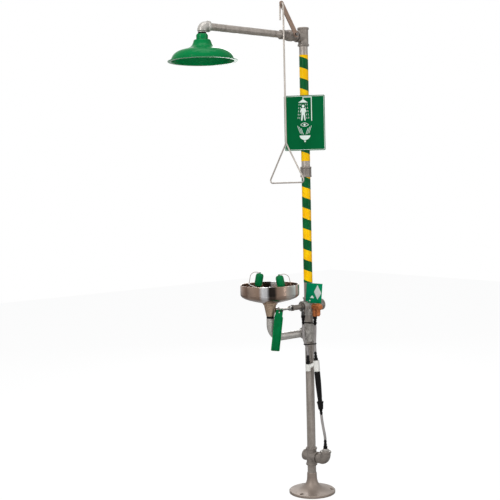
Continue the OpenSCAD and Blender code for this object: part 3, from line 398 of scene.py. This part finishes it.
def new_piece(name, verts, faces, look_name, body, smooth=True):
    """A mesh object in one of the looks, which rides on a body."""
    me = bpy.data.meshes.new(name)
    me.from_pydata([tuple(v) for v in verts], [], faces)
    me.validate()
    me.materials.append(M[look_name])
    for p in me.polygons:
        p.use_smooth = smooth
    o = bpy.data.objects.new(name, me)
    bpy.context.scene.collection.objects.link(o)
    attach(o, body)
    return o


def catmull(points, steps):
    """A smooth curve through the points."""
    p = [Vector(q) for q in points]
    p = [2 * p[0] - p[1]] + p + [2 * p[-1] - p[-2]]
    out = []
    for a, b, c, d in zip(p, p[1:], p[2:], p[3:]):
        for s in range(steps):
            t = s / steps
            out.append(0.5 * (2 * b + (c - a) * t + (2 * a - 5 * b + 4 * c - d) * t * t
                              + (3 * b - a - 3 * c + d) * t ** 3))
    out.append(p[-2])
    return out


def tube(path, radius, sides):
    """Vertices and faces of a tube with closed ends along a path."""
    verts, faces = [], []
    a = None
    for i, c in enumerate(path):
        t = (path[min(i + 1, len(path) - 1)] - path[max(i - 1, 0)]).normalized()
        if a is None:
            a = t.orthogonal().normalized()
        a = (a - a.dot(t) * t).normalized()
        b = t.cross(a)
        for j in range(sides):
            w = TAU * j / sides
            verts.append(c + radius * (math.cos(w) * a + math.sin(w) * b))
    for i in range(len(path) - 1):
        near, far = i * sides, (i + 1) * sides
        for j in range(sides):
            k = (j + 1) % sides
            faces.append((near + j, near + k, far + k, far + j))
    faces.append(tuple(reversed(range(sides))))
    faces.append(tuple(range((len(path) - 1) * sides, len(path) * sides)))
    return verts, faces


# ---------------------------------------------------------------- hoses

HOSE_RADIUS = 0.0066
HOSES = {  # routes in mm, from the upper hose tail to the lower one
    "lower_drain_hose": [
        (78.2, -2, 402.3), (79.6, -2, 390), (81.5, -1.9, 377), (84, -1.7, 364), (87, -1.4, 350),
        (90.2, -1.1, 336), (93.4, -0.7, 322), (96.4, -0.4, 308), (98.8, -0.1, 295),
        (100, 0, 282.8)],
    "bleed_hose_left": [
        (28, -64, 851.7), (28, -64, 840), (28, -64, 826), (28, -64, 812), (28, -63.5, 798),
        (27.6, -61.5, 785), (27, -57.5, 772), (26, -51.5, 759), (25, -45.5, 747),
        (23.8, -40, 735), (22.8, -35.5, 722), (22.1, -32.6, 710), (22, -32, 695.3)],
    "bleed_hose_right": [
        (44, 0, 841.7), (44, 0, 830), (43.8, -0.2, 816), (43.2, -0.6, 800), (42.4, -1.1, 784),
        (41.7, -1.5, 768), (41.4, -1.8, 752), (41.6, -1.9, 738), (42.2, -2, 725),
        (42.9, -2, 712)],
}
for node_name, route in HOSES.items():
    path = catmull([[c / 1000 for c in p] for p in route], 6)
    v, f = tube(path, HOSE_RADIUS, 24)
    hose = new_piece(node_name + "_tube", v, f, "hose", "stand")
    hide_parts(node_name)


# ---------------------------------------------------------------- flat prints

PRINT_THICK = 0.00012  # also how far a print's middle lies off its plate


def flat_ring(outer, inner):
    """The flat area between two outlines of the same length."""
    n = len(outer)
    faces = [(i, (i + 1) % n, n + (i + 1) % n, n + i) for i in range(n)]
    return list(outer) + list(inner), faces


def area(points):
    """The flat area within an outline."""
    return list(points), [tuple(range(len(points)))]


def stroke(points, width, closed=False):
    """A flat line of a width along points, with mitred corners."""
    n = len(points)
    pts = [Vector(p) for p in points]
    left, right = [], []
    for i in range(n):
        before = pts[i] - pts[i - 1] if (i > 0 or closed) else None
        after = pts[(i + 1) % n] - pts[i] if (i < n - 1 or closed) else None
        d1 = (before or after).normalized()
        d2 = (after or before).normalized()
        n1, n2 = Vector((-d1.y, d1.x)), Vector((-d2.y, d2.x))
        m = (n1 + n2).normalized()
        m = m * (width / 2 / max(0.3, m.dot(n1)))
        left.append(pts[i] + m)
        right.append(pts[i] - m)
    faces = []
    for i in range(n if closed else n - 1):
        j = (i + 1) % n
        faces.append((i, j, n + j, n + i))
    return left + right, faces


def ellipse(cx, cy, rx, ry, n=28, start=0.0, sweep=TAU):
    """n steps of an ellipse; an arc has its end point as well."""
    count = n if sweep == TAU else n + 1
    angles = [start + sweep * i / n for i in range(count)]
    return [(cx + rx * math.cos(a), cy + ry * math.sin(a)) for a in angles]


def rounded(w, h, r, n=6):
    """The outline of a rectangle with rounded corners."""
    x, y = w / 2 - r, h / 2 - r
    pts = []
    for s, (cx, cy) in enumerate(((x, y), (-x, y), (-x, -y), (x, -y))):
        pts += ellipse(cx, cy, r, r, n, s * TAU / 4, TAU / 4)
    return pts


def print_piece(name, shapes, place, look_name):
    """Flat shapes in mm as one thin piece; place turns their (x, y) into a point in space."""
    verts, faces = [], []
    for pts, fs in shapes:
        base = len(verts)
        verts += [place(p[0], p[1]) for p in pts]
        faces += [tuple(base + i for i in f) for f in fs]
    o = new_piece(name, verts, faces, look_name, "stand", smooth=False)
    thick = o.modifiers.new("thickness", "SOLIDIFY")
    thick.thickness = PRINT_THICK
    thick.offset = 0
    return o


# ---------------------------------------------------------------- sign

SIGN_TURN = math.radians(45)
SIGN_FACE = 0.0291  # its front, from the post's axis
SIGN_Z = 1.828  # its middle


def sign_place(x, y):
    x, y, d = x / 1000, y / 1000, SIGN_FACE + PRINT_THICK
    return Vector((x * math.cos(SIGN_TURN) + d * math.sin(SIGN_TURN),
                   x * math.sin(SIGN_TURN) - d * math.cos(SIGN_TURN),
                   SIGN_Z + y))


# border
shapes = [flat_ring(rounded(190, 259, 4), rounded(186.4, 255.4, 3))]
# shower pipe, its end and the shower head
shapes.append(stroke([(-6, 124), (34, 124), (34, 10)], 3.4))
shapes.append(stroke([(-6, 125.5), (-6, 112)], 3.4))
shapes.append(area([(-9, 113), (-3, 113), (17, 98), (-29, 98)]))
# figure under the shower
shapes.append(area(ellipse(-6, 81, 6.2, 6.8)))
shapes.append(area([
    (-1.5, 72.5), (4.5, 70), (9, 52), (5.5, 50), (2.5, 60), (2.5, 44), (5, 12), (-1, 12), (-5, 40),
    (-7, 40), (-11, 12), (-17, 12), (-14.5, 44), (-14.5, 60), (-17.5, 50), (-21, 52), (-16.5, 70),
    (-10.5, 72.5)]))
# water, in dashes
for x0, x1 in ((-25, -33), (-16.5, -24), (4.5, 12), (13, 21)):
    for i in range(5):
        ends = [(x0 + (x1 - x0) * t, 93 - 80 * t) for t in (i / 5, i / 5 + 0.11)]
        shapes.append(stroke(ends, 1.7))
# eye: the upper lid from the right to the left, the lower lid back, and the iris
EYE_X, EYE_Y, EYE_HALF = -1, -9, 19
LID_UP, LID_DOWN = 9.5, 7.5
lids = [EYE_HALF - 2 * EYE_HALF * i / 14 for i in range(15)]
outer = [(EYE_X + x, EYE_Y + (1 - (x / EYE_HALF) ** 2) * LID_UP) for x in lids]
outer += [(EYE_X - x, EYE_Y - (1 - (x / EYE_HALF) ** 2) * LID_DOWN) for x in lids[1:-1]]
shapes.append(stroke(outer, 2.2, closed=True))
shapes.append(area(ellipse(-1, -8.5, 5, 5)))
# sprays, bowl and drain
for s in (-1, 1):
    for d in (0, 11, 22):
        ends = [(-1 + s * (6 + d * 0.65), -55 + d * 0.2),
                (-1 + s * (17 + d * 0.75), -25 + d * 0.55)]
        shapes.append(stroke(ends, 1.9))
shapes.append(area([(-26, -60), (26, -60)] + ellipse(0, -60, 26, 22, 16, 0, -math.pi)[1:-1]))
shapes.append(area([(-4, -84), (4, -84), (4, -92), (-4, -92)]))
print_piece("sign_pictograms", shapes, sign_place, "print")


# ---------------------------------------------------------------- tag

TAG_TURN = math.radians(47)
TAG_LEAN = math.radians(5)
TAG_FACE = 0.0298  # its front, from the post's axis
TAG_Z = 0.975  # the height of y = TAG_MID
TAG_MID = 22


def tag_place(x, y):
    p = Vector((x / 1000, -TAG_FACE - PRINT_THICK, (y - TAG_MID) / 1000))
    p = Matrix.Rotation(TAG_TURN, 3, "Z") @ Matrix.Rotation(TAG_LEAN, 3, "Y") @ p
    return p + Vector((0, 0, TAG_Z))


print_piece("tag_triangle", [area([(7, 24), (28, 24), (17.5, 38)])], tag_place, "print")
print_piece("tag_square", [area([(5, 8), (10, 8), (10, 14), (5, 14)])], tag_place, "print")
print_piece("tag_rhombus", [area([(44, 18), (61, 50), (40, 90), (25, 55)])], tag_place,
            "print_soft")


# ---------------------------------------------------------------- stage and light

# White to the camera and in mirror images, and a weak pale blue light to everything else.
k = Tree(bpy.data.worlds.new("studio"), "World")
bpy.context.scene.world = k.owner
rays = k.add("LightPath").outputs
shiny = k.math("MAXIMUM", rays["Is Glossy Ray"], rays["Is Transmission Ray"])
seen = k.math("MAXIMUM", rays["Is Camera Ray"], shiny)
soft = k.add("Background", {0: (0.95, 0.97, 1.0, 1), 1: 0.26})
white = k.add("Background", {0: (1, 1, 1, 1), 1: 1.0})
k.set(k.out.inputs[0], k.add("MixShader", {0: seen, 1: soft, 2: white}))

# The floor glows to the camera alone, so that it ends in the white of the background.
FLOOR = 9
k = Tree(bpy.data.materials.new("studio_floor"))
diffuse = k.add("BsdfDiffuse", {"Color": (0.55, 0.55, 0.55, 1)})
glow = k.add("Emission", {"Color": (1, 1, 1, 1), "Strength": 1.2})
amount = k.math("MULTIPLY", k.add("LightPath").outputs["Is Camera Ray"], 0.78)
k.set(k.out.inputs[0], k.add("MixShader", {0: amount, 1: diffuse, 2: glow}))
me = bpy.data.meshes.new("floor")
me.from_pydata([(-FLOOR, -FLOOR, 0), (FLOOR, -FLOOR, 0), (FLOOR, FLOOR, 0), (-FLOOR, FLOOR, 0)],
               [], [(0, 1, 2, 3)])
me.materials.append(k.owner)
floor = bpy.data.objects.new("floor", me)
bpy.context.scene.collection.objects.link(floor)


def area_light(name, at, target, size, power):
    """A rectangular lamp at a place, aimed at a target."""
    data = bpy.data.lights.new(name, "AREA")
    data.shape = "RECTANGLE"
    data.size, data.size_y = size
    data.energy = power
    o = bpy.data.objects.new(name, data)
    at, target = Vector(at), Vector(target)
    aim = (target - at).to_track_quat("-Z", "Y").to_matrix().to_4x4()
    o.matrix_world = Matrix.Translation(at) @ aim
    bpy.context.scene.collection.objects.link(o)
    return o


area_light("key", (0.9, -4.2, 3.0), (0, -0.1, 1.2), (0.9, 2.6), 84)
low = area_light("low", (3.1, -2.3, 0.9), (0, 0, 0.8), (0.7, 1.6), 44)
low.visible_glossy = False  # its mirror image would cover the dark band of the bowl's painted reflection
area_light("fill", (4.0, 1.2, 2.0), (0, 0, 1.2), (0.6, 2.6), 28)
area_light("top", (0.2, -0.6, 4.6), (0, -0.2, 1.0), (2.0, 2.0), 42)
area_light("back", (-3.0, 2.4, 2.6), (0, 0, 1.3), (1.0, 2.4), 34)
